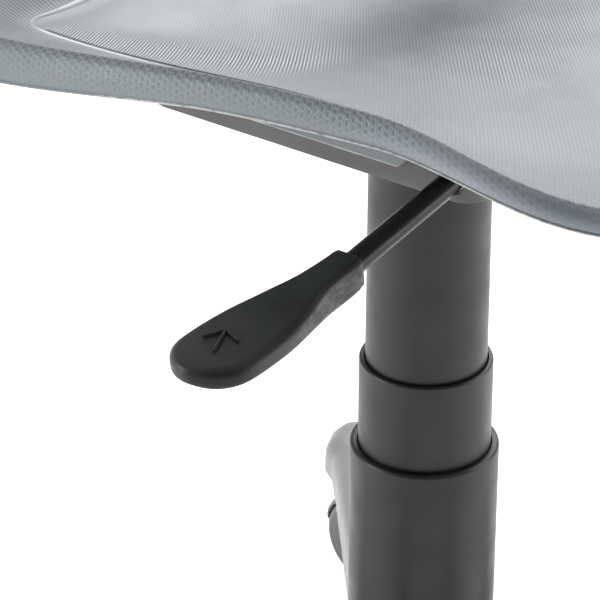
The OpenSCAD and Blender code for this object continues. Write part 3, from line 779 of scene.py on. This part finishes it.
def build_rod():
    # place along X and radius of each section; the inner end is rounded off
    stations = [(ROD_START - d, ROD_R - cut) for d, cut in ((0, 0.8), (0.4, 0.3), (0.9, 0.05), (1.4, 0))]
    stations += [(x, ROD_R) for x in np.linspace(ROD_START - 3, ROD_END, 12)]
    stations.append((ROD_END - 0.5, ROD_R - 0.4))
    rings = []
    for x, r in stations:
        ring = []
        for k in range(64):
            # sections stand square to the rod's axis
            aside, up = r * math.cos(TAU * k / 64), r * math.sin(TAU * k / 64)
            ring.append((x - up * math.sin(DROOP), LEVER_Y + aside, rod_axis_z(x) + up * math.cos(DROOP)))
        rings.append(ring)
    return loft("rod", rings, sharp=50, flip=True)


# Key sections of the paddle from the collar to the blade: along X, far edge, near edge, top, underside
PADDLE = [(-143.8, -53.4, -69.4, 412.2, 399.2), (-153, -53.0, -70.2, 411.2, 398.1),
          (-168, -51.4, -72.1, 410.3, 398.1), (-185, -47.9, -75.6, 409.8, 398.9),
          (-203, -45.0, -78.8, 409.3, 399.3), (-220, -44.3, -80.3, 409.1, 399.6)]
TIP_X, TIP_Y, TIP_LENGTH, TIP_HALF = -229.0, -62.5, 18.3, 17.9
BLADE_TOP, BLADE_LOW, TIP_TAPER = 409.0, 399.6, 1.8
SCOOP_X, SCOOP_REACH, SCOOP_IN = -168.0, 20.0, 3.4
CROWN = 0.5


def tip_section(degrees):
    """Section of the paddle's round tip, which thins towards its end."""
    a = math.radians(degrees)
    half, taper = TIP_HALF * math.cos(a), TIP_TAPER * math.sin(a) ** 6
    return np.array([TIP_X - TIP_LENGTH * math.sin(a), TIP_Y + half, TIP_Y - half,
                     BLADE_TOP - taper, BLADE_LOW + taper])


def paddle_stations():
    neck = catmull([np.array(row) for row in PADDLE] + [tip_section(0)], [6] * len(PADDLE))
    return np.array(neck + [tip_section(a) for a in range(6, 84, 6)])


def paddle_section(x, far, near, top, low, blade):
    """Rounded section; on the neck the near side slopes out below, like a thumb scoop."""
    tuck = 0.5 + SCOOP_IN * math.exp(-((x - SCOOP_X) / SCOOP_REACH) ** 2)
    points = [(near + tuck, top - 0.6), (far, top - 0.6), (far - 1.2, low), (near + 0.3, low)]
    width, height, middle = abs(near - far), top - low, (far + near) / 2
    r_top = min(2.8 + 1.8 * blade, height * 0.46, width * 0.4)
    r_low = min(1.8 + 0.9 * blade, height * 0.4)
    ring = []
    for y, z in fillet(points, [r_top, r_top, r_low, r_low], 8):
        lift = CROWN * max(0, 1 - ((y - middle) / (width / 2)) ** 2) if z > top - 1.2 else 0
        ring.append((x, y, z + lift))
    return ring


def build_paddle():
    stations = paddle_stations()
    gaps = np.linalg.norm(np.diff(stations[:, :3], axis=0), axis=1)
    length = np.concatenate([[0], np.cumsum(gaps)])
    rows = [np.interp(np.linspace(0, length[-1], 58), length, stations[:, i]) for i in range(5)]
    # ease the joints between the stations
    for _ in range(3):
        for r in rows[1:]:
            r[1:-1] = 0.25 * r[:-2] + 0.5 * r[1:-1] + 0.25 * r[2:]
    sections = list(zip(*rows))
    x, far, near, top, low = sections[0]
    rings = [paddle_section(x - back, far - shrink, near + shrink, top - shrink, low + shrink, 0.0)
             for back, shrink in ((0, 1.6), (0.35, 0.8), (0.95, 0.2))]
    for i, (x, far, near, top, low) in enumerate(sections[1:]):
        blade = float(ease(150, 200, -x))
        rings.append(paddle_section(x - (1.2 if i == 0 else 0), far, near, top, low, blade))
    x, far, near, top, low = sections[-1]
    y, z, end = (far + near) / 2, (top + low) / 2, rings[-1]
    for out, share in ((0.35, 0.7), (0.55, 0.35)):
        rings.append([(x - out, y + (p[1] - y) * share, z + (p[2] - z) * share) for p in end])
    return loft("paddle", rings, sharp=70)


def stroke(points, radius, sides=10):
    """Raised line with round ends, half sunk in the surface it lies on."""
    points = [np.array(p, float) for p in points]
    path = [points[0]]
    for a, b in zip(points[:-1], points[1:]):
        path += [a + (b - a) * k / 6 for k in range(1, 7)]
    start, end = unit(path[0] - path[1]) * radius, unit(path[-1] - path[-2]) * radius
    full = [(path[0] + start, 0.15), (path[0] + start * 0.7, 0.7)] + [(p, 1.0) for p in path]
    full += [(path[-1] + end * 0.7, 0.7), (path[-1] + end, 0.15)]
    up = np.array([0, 0, 0.75])
    rings = []
    for i, (p, scale) in enumerate(full):
        d = unit(full[min(i + 1, len(full) - 1)][0] - full[max(i - 1, 0)][0])
        across = np.array([-d[1], d[0], 0])
        turns = [TAU * k / sides for k in range(sides)]
        rings.append([tuple(p + radius * scale * (math.cos(t) * across + math.sin(t) * up)) for t in turns])
    return loft("stroke", rings, sharp=60, flip=True)


GLYPH_X, GLYPH_Y, GLYPH_Z = -226.0, -61.4, 409.4
GLYPH_TURN, GLYPH_STROKE = math.radians(22), 0.72
ARROW_TAIL, ARROW_TIP, ARROW_BACK, ARROW_WIDE = -7.6, 8.4, 2.0, 6.6


def build_glyph():
    """Plain arrow that stands for raising the seat."""
    c, s = math.cos(GLYPH_TURN), math.sin(GLYPH_TURN)

    def at(a, b):
        return (GLYPH_X + a * c - b * s, GLYPH_Y + a * s + b * c, GLYPH_Z)

    shaft = [at(ARROW_TAIL, 0), at(ARROW_TIP, 0)]
    head = [at(ARROW_BACK, -ARROW_WIDE), at(ARROW_TIP + 0.2, 0), at(ARROW_BACK, ARROW_WIDE)]
    return join([stroke(line, GLYPH_STROKE) for line in (shaft, head)], "glyph")


# ---------------- column

# Radius at the top and at the foot, wall, height of the foot and of the top, the rim's rounding, lip
SLEEVES = {"upper": (27.3, 28.0, 1.8, 225, 405, 0.9, 0),
           "middle": (30.5, 31.0, 2.0, 150, 280, 1.7, 0.3),
           "lower": (34.4, 34.4, 2.8, 95, 236, 2.4, 0.62)}


def build_sleeve(name, r_top, r_foot, wall, z0, z1, rim, lip):
    """Drafted tube; its rounded rim may reach in by the lip, to close up on the next tube."""
    mouth = r_top - wall - lip
    outline = [(r_foot, z0), (r_top, z1), (mouth, z1)]
    radii = [0.5, rim, 0.35]
    if lip:
        outline += [(mouth, z1 - 1.4), (r_top - wall, z1 - 2.4)]
        radii += [0, 0]
    rounded = fillet(outline + [(r_foot - wall, z0)], radii + [0.3], 8)
    # the long walls are cut into eight
    whole = []
    for i, p in enumerate(rounded):
        p, q = np.array(p), np.array(rounded[(i + 1) % len(rounded)])
        cuts = 8 if abs(q[1] - p[1]) > 20 else 1
        whole += [tuple(p + (q - p) * k / cuts) for k in range(cuts)]
    return revolve(name, whole, 200)


# ---------------- base

HUB_TOP, HUB_LOW, HUB_R, HUB_BORE = 92.0, 46.0, 46.0, 24.6
LEGS, FIRST_LEG = 5, 42.0
LEG_R, LEG_REACH, LEG_WALL = 268.0, 295.0, 5.0
LEG_START, LEG_END_TOP, LEG_END_LOW = 30.0, 75.0, 54.6
LEG_HALF, LEG_TAPER, TAPER_FROM, TAPER_TO = 23.0, 5.6, 20.0, 236.0
END_R, NOSE_R, NOSE_OUT = 20.0, 17.0, 10.0
CHANNEL_FROM, CHANNEL_TO = 50.0, 246.0
BORE_R, BORE_LOW, BORE_TOP = 7.0, 50.0, 69.4


def leg_share(x):
    return np.clip((x - LEG_START) / (LEG_REACH - LEG_START), 0, 1)


def leg_top(x):
    return HUB_TOP - 2 - (HUB_TOP - 2 - LEG_END_TOP) * (1 - (1 - leg_share(x)) ** 1.8)


def leg_low(x):
    return HUB_LOW + (LEG_END_LOW - HUB_LOW) * min(1, 1.5 * leg_share(x))


def leg_half(x):
    along = min(max((x - TAPER_FROM) / (TAPER_TO - TAPER_FROM), 0), 1)
    arm = LEG_HALF - LEG_TAPER * along if x <= LEG_R else 0.0
    end = math.sqrt(max(END_R ** 2 - (x - LEG_R) ** 2, 0))
    nose = math.sqrt(max(NOSE_R ** 2 - (x - LEG_R - NOSE_OUT) ** 2, 0))
    return max(arm, end, nose)


def leg_section(x, half, top, low, channel, corner):
    """U-shaped section: crowned top, open channel below."""
    corner = min(corner, half * 0.7, (top - low) * 0.6)
    outer = [(-half, low), (-half + 0.6, top), (half - 0.6, top), (half, low)]
    inner_half = max(half - LEG_WALL, 0.5)
    depth = channel * max(top - low - LEG_WALL - 1.5, 0) + 0.01
    inner = [(inner_half, low), (inner_half - 0.4, low + depth), (-inner_half + 0.4, low + depth),
             (-inner_half, low)]
    inner_r = min(3, (depth - 0.01) * 0.4 + 0.01)
    points = []
    for y, z in fillet(outer, [0, corner, corner, 0], 9):
        crown = 1 - (y / half) ** 2 if z > top - 0.5 else 0
        points.append((x, y, z + crown * 0.6 - 0.6))
    return points + [(x, y, z) for y, z in fillet(inner, [0, inner_r, inner_r, 0], 5)]


def build_leg():
    """One leg, and the webs in its channel."""
    xs = [31, 36, 42, 48, 52] + list(np.linspace(58, 240, 24))
    xs += [245, 250, 254, 257, 260, 264, 268, 272, 276]
    turns = (5, 15, 25, 35, 45, 54, 62, 70, 78, 84)
    xs += [LEG_R + NOSE_OUT + NOSE_R * math.sin(math.radians(a)) for a in turns]
    rings = []
    for x in xs:
        half = max(leg_half(x), 1.0)
        channel = ease(CHANNEL_FROM, CHANNEL_FROM + 10, x) * (1 - ease(CHANNEL_TO - 10, CHANNEL_TO, x))
        over = min(max((x - LEG_R - 2) / (LEG_REACH - LEG_R - 2), 0.0), 1.0)
        top = leg_top(x) - 6.5 * (1 - math.sqrt(1 - over ** 2))
        corner = 7.5 + 3.0 * min(max((x - 235) / 30, 0), 1)
        rings.append(leg_section(x, half, top, leg_low(x), channel, corner))
    pieces = [loft("leg", rings)]
    for x in np.linspace(88, 216, 4):
        half = leg_half(x) - 3
        box = [(x - 1.3, -half), (x + 1.3, -half), (x + 1.3, half), (x - 1.3, half)]
        pieces.append(loft("web", [[(a, b, z) for a, b in box] for z in (leg_low(x) + 3, leg_top(x) - 3)]))
    return pieces


def leg_turn(i):
    return Matrix.Rotation(math.radians(FIRST_LEG + 360 / LEGS * i), 4, "Z")


def build_base():
    parts, cutters = [], []
    circle = [(BORE_R * math.cos(TAU * k / 40), BORE_R * math.sin(TAU * k / 40)) for k in range(40)]
    for i in range(LEGS):
        for piece in build_leg():
            piece.data.transform(leg_turn(i))
            parts.append(piece)
        a = math.radians(FIRST_LEG + 360 / LEGS * i)
        ring = [(LEG_R * math.cos(a) + dx, LEG_R * math.sin(a) + dy) for dx, dy in circle]
        cutters.append(loft("bore", [[(x, y, z) for x, y in ring] for z in (BORE_LOW, BORE_TOP)]))
    hub = [(HUB_BORE, HUB_LOW), (HUB_R, HUB_LOW), (HUB_R, HUB_TOP - 0.4), (HUB_BORE, HUB_TOP - 0.4)]
    parts.append(revolve("hub", fillet(hub, [0, 2, 5, 0], 6), 120))
    base = fuse(join(parts, "star"), 1.6, 4)
    cutter = join(cutters, "bores")
    cut = base.modifiers.new("bore", "BOOLEAN")
    cut.operation = "DIFFERENCE"
    cut.solver = "EXACT"
    cut.object = cutter
    apply_modifiers(base)
    bpy.data.objects.remove(cutter)
    shade(base, 50)
    return base


# ---------------- casters

CASTER_TURN = [219, 200, 35, 160, 285]
TRAIL, WHEEL_R, WHEEL_W, WEB_HW = 21.0, 25.0, 17.0, 5.5
FENDER_FROM, FENDER_TO, FENDER_STEPS = 18, 186, 68
FENDER_GAP, FENDER_THICK = 1.0, 2.2
NEAR_TURN, NEAR_CUT, FAR_TURN, FAR_CUT = 13, 6.0, 36, 11.0
SHOULDER, SHOULDER_DROP = 5, 3.0
STEM_BOSS_R, STEM_BOSS_LOW, STEM_BOSS_TOP = 11.0, 33.0, 53.0


def caster_matrix(i):
    return (leg_turn(i) @ Matrix.Translation((LEG_R * MM, 0, 0))
            @ Matrix.Rotation(math.radians(CASTER_TURN[i]), 4, "Z"))


def rounded_off(share):
    """How far a quarter circle has dropped at a share of its radius."""
    return 1 - math.sqrt(1 - share ** 2)


def build_fender():
    """Arch over both wheels; its lower corners are rounded in side view, and its sides in section."""
    inner, wide = WHEEL_R + FENDER_GAP, WEB_HW + 1 + WHEEL_W
    outer = inner + FENDER_THICK
    rings = []
    for degrees in np.linspace(FENDER_FROM, FENDER_TO, FENDER_STEPS):
        a = math.radians(degrees)
        near_end = 1 - min(1.0, (degrees - FENDER_FROM) / NEAR_TURN)
        far_end = 1 - min(1.0, (FENDER_TO - degrees) / FAR_TURN)
        half = wide - NEAR_CUT * rounded_off(near_end) - FAR_CUT * rounded_off(far_end)
        ring = []
        for k in range(48):
            t = k / 24
            y, r = (half * (2 * t - 1), outer) if t < 1 else (half * (3 - 2 * t), inner)
            r -= SHOULDER_DROP * (max(0.0, abs(y) - half + SHOULDER) / SHOULDER) ** 2
            ring.append((TRAIL + r * math.cos(a), y, WHEEL_R + r * math.sin(a)))
        rings.append(ring)
    return loft("fender", rings)


def build_hood():
    """Fender, centre web and the boss for the stem, in one skin."""
    web_r = WHEEL_R - 4
    web = [(2.0, -WEB_HW), (web_r, -WEB_HW), (web_r, WEB_HW), (2.0, WEB_HW)]
    disc = revolve("disc", fillet(web, [0, 2, 2, 0], 5), 72)
    stand = Matrix.Rotation(math.pi / 2, 4, "X")
    disc.data.transform(Matrix.Translation((TRAIL * MM, 0, WHEEL_R * MM)) @ stand)
    x0, x1 = TRAIL - 20, TRAIL + 2
    box = [(x0, -WEB_HW), (x1, -WEB_HW), (x1, WEB_HW), (x0, WEB_HW)]
    spine = loft("spine", [[(x, y, z) for x, y in box] for z in (STEM_BOSS_LOW, STEM_BOSS_TOP - 1)])
    top = [(0.4, STEM_BOSS_LOW), (STEM_BOSS_R, STEM_BOSS_LOW), (STEM_BOSS_R, STEM_BOSS_TOP),
           (0.4, STEM_BOSS_TOP)]
    stem_boss = revolve("stem_boss", fillet(top, [0, 2, 1.6, 0], 5), 72)
    return fuse(join([build_fender(), disc, spine, stem_boss], "hood"), 0.75, 3)


def build_wheel(side):
    """Wheel with rounded shoulders, a tread line and a dished cap on its outer face."""
    w, r = WHEEL_W, WHEEL_R
    # each corner: radius, distance out from the web, rounding
    web_face = [(3.15, 0.2, 0), (10.0, 0.2, 0.4), (11.0, 1.0, 0.4), (21.0, 1.0, 0.4), (21.8, 0.0, 0.3)]
    tread = [(r, 0.0, 3.4), (r, 5.4, 0.1), (r - 0.45, 5.7, 0.1), (r - 0.45, 6.3, 0.1), (r, 6.6, 0.1)]
    shoulder = [(r, w - 6, 6), (r - 0.4, w - 2.6, 6), (r - 2.0, w - 0.4, 3), (20.9, w, 0.3)]
    cap = [(20.0, w - 0.7, 0.3), (19.0, w - 0.9, 0.3), (17.0, w - 2.0, 0.8), (9.8, w - 2.6, 0.8),
           (9.2, w - 0.9, 0.4), (8.4, w - 0.3, 0.4), (3.15, w - 0.3, 0)]
    corners = web_face + tread + shoulder + cap
    outline = fillet([(a, b) for a, b, _ in corners], [c for _, _, c in corners], 5)
    obj = revolve("wheel", outline, 120, sharp=30)
    turn = Matrix.Rotation(math.radians(-90 * side), 4, "X")
    place = Matrix.Translation((TRAIL * MM, side * (WEB_HW + 0.7) * MM, WHEEL_R * MM))
    obj.data.transform(place @ turn)
    return obj


# ---------------- materials in use

# Moulded or coated: colour, roughness, grain, mottling, depth of the grain, colour where worn
MOULDED = {
    "sleeve_plastic": ((0.008, 0.008, 0.0084), 0.40, 3400, 0.05, 0.022),
    "plate_coat": ((0.095, 0.0925, 0.089), 0.42, 2000, 0.12, 0.03, (0.2, 0.195, 0.19)),
    "base_plastic": ((0.31, 0.31, 0.317), 0.42, 2300, 0.04, 0.03),
    "hood_plastic": ((0.2, 0.2, 0.203), 0.44, 2300, 0.05, 0.03),
    "wheel_plastic": ((0.19, 0.19, 0.195), 0.5, 1800, 0.08, 0.03, (0.30, 0.29, 0.28)),
    "black_plastic": ((0.02, 0.02, 0.021), 0.4, 2200, 0.2, 0.02),
    "bush_plastic": ((0.62, 0.61, 0.56), 0.45, 1800, 0.05, 0.02),
}
MAT = {name.split("_")[0]: moulded(name, *look) for name, look in MOULDED.items()}
MAT.update({
    "seat": seat_material(),
    "skirt": skirt_material(),
    "grip": grip_material(),
    "rod": moulded("rod_black", (0.003, 0.003, 0.0031), 0.24, 3200, 0.3, 0.014, (0.013, 0.013, 0.013),
                   Specular_IOR_Level=0.2),
    "zinc": brushed("zinc_steel", (0.52, 0.52, 0.54), 0.33),
    "bright": brushed("bright_steel", (0.68, 0.68, 0.7), 0.2, depth=0.003),
    "brass": brushed("turned_brass", (0.72, 0.5, 0.22), 0.3),
})


# ---------------- assembly

BODY = {node: body for body, nodes in frame["record"]["behaviour"]["bodies"].items() for node in nodes}


def stand_for(obj, node, material):
    dress(obj, BODY[node], MAT[material], node)


def soften(node, material, width, segments=2):
    """A CAD node whose shape is right, with its edges broken and its real finish."""
    stand_for(softened(node, width, segments), node, material)


def finish_cad(node, material):
    """A CAD node that is left as it is, with its real finish."""
    materials = frame["nodes"][node].data.materials
    materials.clear()
    materials.append(MAT[material])


stand_for(build_seat(), "seat_shell", "seat")
for side in (-1, 1):
    stand_for(skirt_panel(side), "seat_shell", "skirt")
bosses = [boss(sx * BOSS_X, SKIRT_Y + sy * BOSS_Y) for sx in (-1, 1) for sy in (-1, 1)]
stand_for(join(bosses, "seat_bosses"), "seat_shell", "skirt")

stand_for(build_rod(), "lever_rod", "rod")
stand_for(build_paddle(), "lever_grip", "grip")
stand_for(build_glyph(), "lever_grip", "grip")

for name, sizes in SLEEVES.items():
    stand_for(build_sleeve(name + "_tube", *sizes), name + "_sleeve", "sleeve")

soften("seat_plate", "plate", 0.9, 3)
for node, material, width in (
        ("lever_bracket", "plate", 0.5), ("taper_socket", "plate", 0.6), ("release_arm", "zinc", 0.4),
        ("seat_screws", "zinc", 0.3), ("seat_washers", "zinc", 0.25), ("shaft_clip", "bright", 0.2),
        ("release_button", "bright", 0.4), ("hub_ring", "sleeve", 0.5), ("seat_inserts", "brass", 0.2),
        ("gas_cylinder", "black", 0.6), ("stand_tube", "black", 0.5), ("guide_bush", "bush", 0.3),
        ("rod_clip", "zinc", 0.3), ("bump_stop", "black", 0.6), ("leg_sockets", "black", 0.3)):
    soften(node, material, width)
for node, material in (("piston_rod", "bright"), ("piston", "black"), ("lower_thrust_washer", "zinc"),
                       ("upper_thrust_washer", "zinc"), ("ball_cage", "brass"), ("thrust_balls", "bright")):
    finish_cad(node, material)

stand_for(build_base(), "star_base", "base")

hood, wheel_a, wheel_b = build_hood(), build_wheel(1), build_wheel(-1)
for i in range(LEGS):
    caster = f"caster_{i + 1}_"
    for part, source, material in (("hood", hood, "hood"), ("wheel_a", wheel_a, "wheel"),
                                   ("wheel_b", wheel_b, "wheel")):
        skin = place_in_scene(caster + part + "_skin", source.data.copy())
        skin.data.transform(caster_matrix(i))
        stand_for(skin, caster + part, material)
    for part in ("stem", "axle"):
        finish_cad(caster + part, "zinc")
for source in (hood, wheel_a, wheel_b):
    bpy.data.objects.remove(source)


# ---------------- stage, light and camera

FLOOR_HALF, FLOOR_GLOW = 4.5, 0.62
ROOM_DARK_WAY = (-0.7986, -0.6018, 0.0)
ROOM_BRIGHT, ROOM_DARK = 0.62, 0.24
CAMERA_PLACE = Vector((-0.97917, -0.66619, 0.95063))
CAMERA_LOOK = Vector((0.701855, 0.528885, -0.477159))


def build_stage():
    s = FLOOR_HALF
    mesh = bpy.data.meshes.new("floor")
    mesh.from_pydata([(-s, -s, 0), (s, -s, 0), (s, s, 0), (-s, s, 0)], [], [[0, 1, 2, 3]])
    floor = place_in_scene("floor", mesh)
    g = Graph("floor_paint", (0.9, 0.9, 0.9), 0.7)
    g.rough(g.span(g.noise(3, 2), 0.3, 0.7, 0.66, 0.76))
    g.shader.inputs["Emission Color"].default_value = (1, 1, 1, 1)
    g.shader.inputs["Emission Strength"].default_value = FLOOR_GLOW
    mesh.materials.append(g.material)


def aim(obj, place, way):
    obj.location = place
    obj.rotation_euler = way.to_track_quat("-Z", "Y").to_euler()


def area_light(name, place, target, size, power):
    data = bpy.data.lights.new(name, "AREA")
    data.shape = "RECTANGLE"
    data.size, data.size_y = size
    data.energy = power
    aim(place_in_scene(name, data), Vector(place), Vector(target) - Vector(place))


def build_world():
    """White room that is darker towards the side that the camera stands on."""
    world = bpy.data.worlds.new("studio")
    bpy.context.scene.world = world
    world.use_nodes = True
    nodes, links = world.node_tree.nodes, world.node_tree.links
    way = nodes.new("ShaderNodeTexCoord").outputs["Generated"]
    toward = nodes.new("ShaderNodeVectorMath")
    toward.operation = "DOT_PRODUCT"
    toward.inputs[1].default_value = ROOM_DARK_WAY
    links.new(way, toward.inputs[0])
    level = nodes.new("ShaderNodeMapRange")
    level.interpolation_type = "SMOOTHSTEP"
    links.new(toward.outputs["Value"], level.inputs[0])
    for socket, value in zip(level.inputs[1:5], (-0.25, 0.75, ROOM_BRIGHT, ROOM_DARK)):
        socket.default_value = value
    sky = nodes["Background"]
    sky.inputs["Color"].default_value = (1, 1, 1, 1)
    links.new(level.outputs[0], sky.inputs["Strength"])


def build_camera():
    data = bpy.data.cameras.new("camera")
    data.lens = 180
    data.sensor_width = 36
    data.clip_start = 0.05
    camera = place_in_scene("camera", data)
    aim(camera, CAMERA_PLACE, CAMERA_LOOK)
    bpy.context.scene.camera = camera


build_stage()
build_world()
area_light("top_soft", (1.9, 0.5, 1.9), (0, 0, 0.4), (1.8, 1.4), 36)
area_light("left_rim", (-1.5, 1.5, 0.8), (0, 0, 0.3), (0.7, 1.8), 22)
area_light("right_rim", (1.3, -1.4, 0.8), (0, 0, 0.3), (0.7, 1.8), 15)
build_camera()
bpy.context.scene.view_settings.view_transform = "Standard"


def corners(box):
    return [[float(v) for v in corner] for corner in box]
